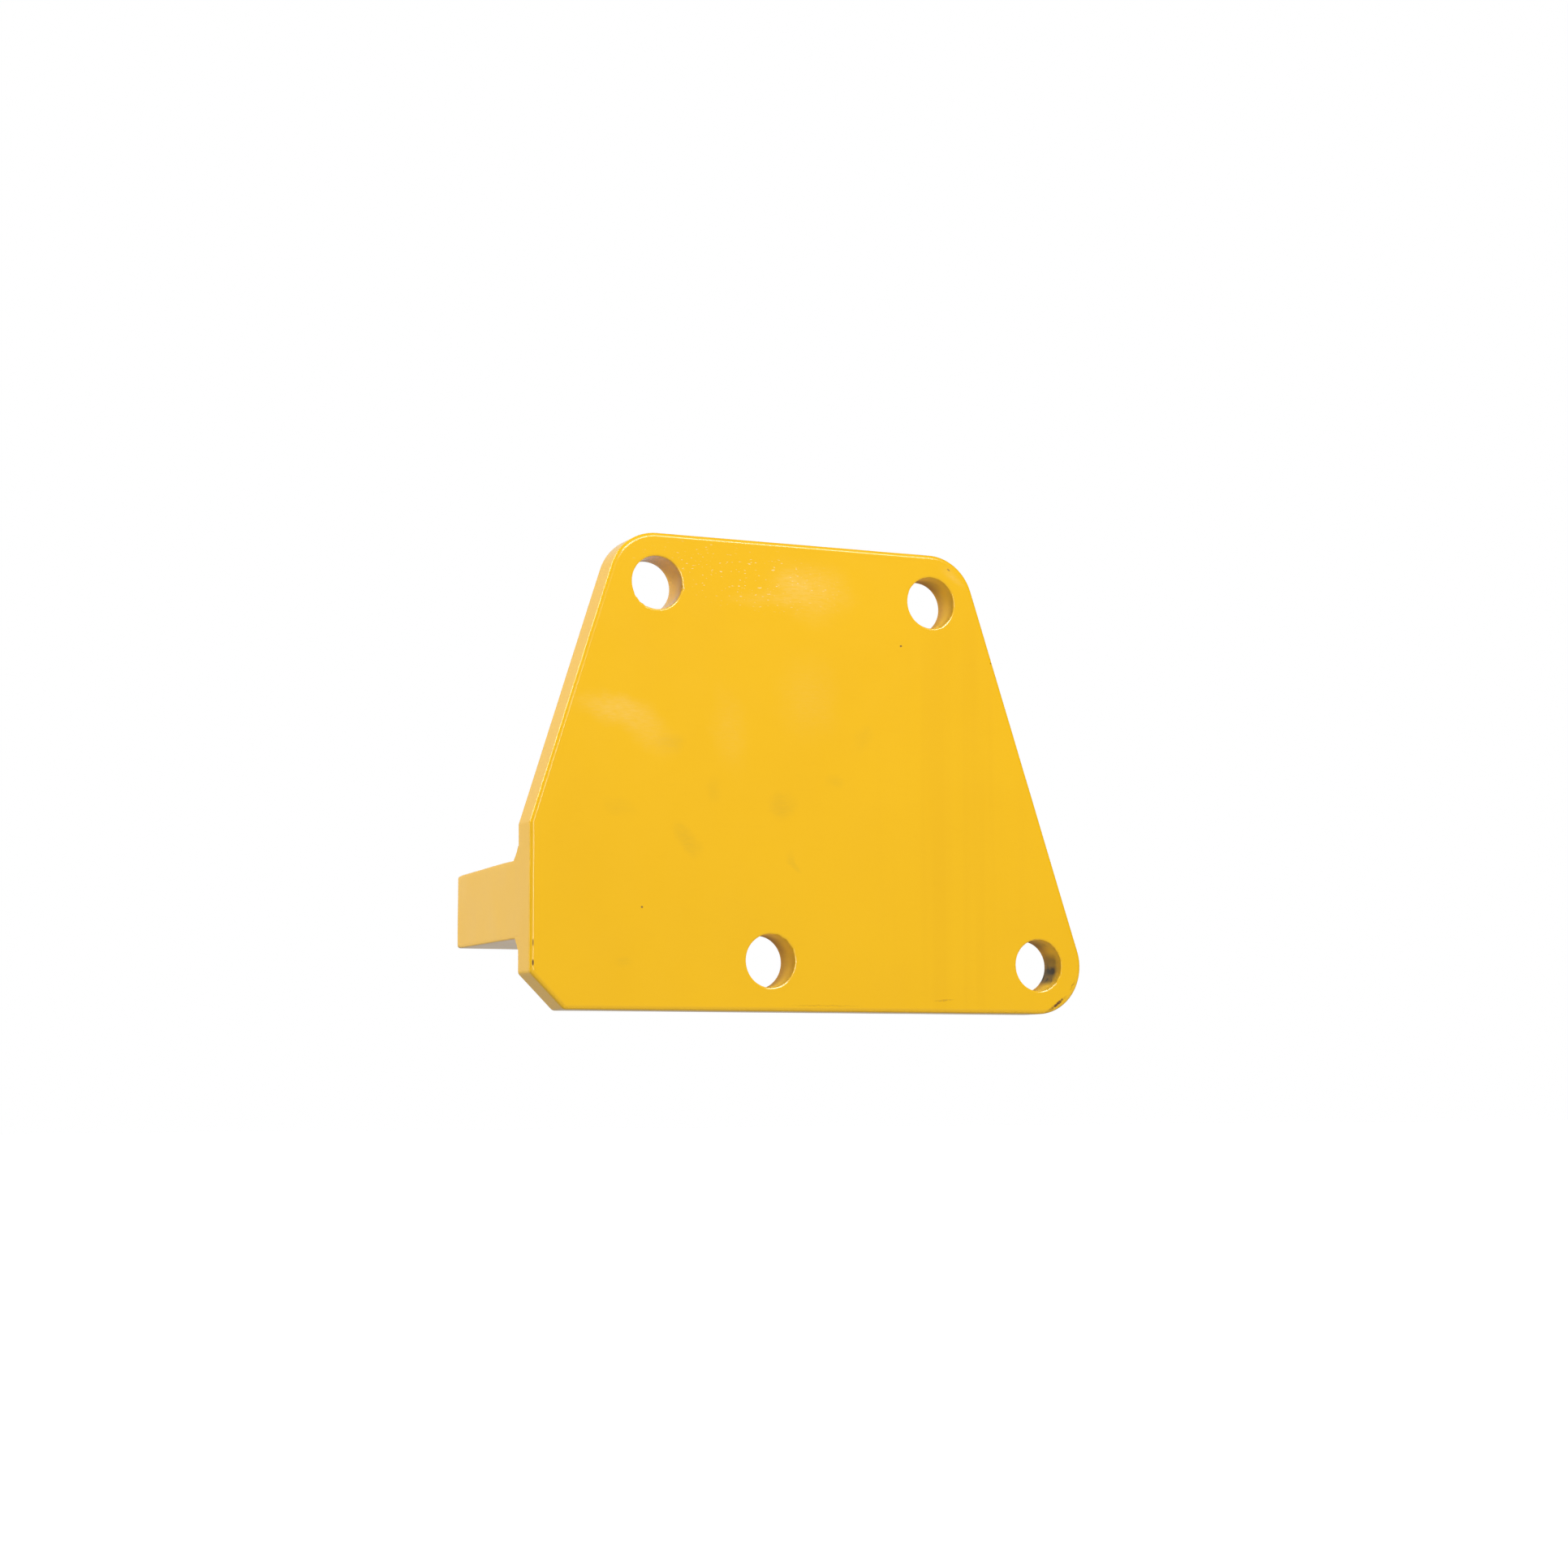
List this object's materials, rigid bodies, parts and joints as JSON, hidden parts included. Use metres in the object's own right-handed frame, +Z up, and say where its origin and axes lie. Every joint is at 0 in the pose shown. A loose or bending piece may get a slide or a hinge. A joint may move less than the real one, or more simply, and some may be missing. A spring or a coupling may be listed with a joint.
{
  "type": "bolt-on stop bracket",
  "caption": "Thick painted steel plate with slanted sides, concentric rounded corners and through bolt holes, and a flat stop bar welded square to its back at the left edge.",
  "frame": {"origin": "centre of the lower pair of bolt holes, on the plate's front face", "axes": "+X along the pair towards the corner hole, +Y from the front face towards the bar, +Z up towards the upper pair"},
  "size_m": [0.2056, 0.076, 0.16],
  "materials": {
    "plate_paint": "gloss",
    "bar_paint": "gloss",
    "weld_paint": "gloss over weld ripple"
  },
  "bodies": {
    "root": {"mounting_plate": "plate_paint", "stop_bar": "bar_paint", "outer_groove_weld": "weld_paint", "upper_fillet_weld": "weld_paint", "lower_fillet_weld": "weld_paint", "inner_fillet_weld": "weld_paint"}
  },
  "joints": []
}
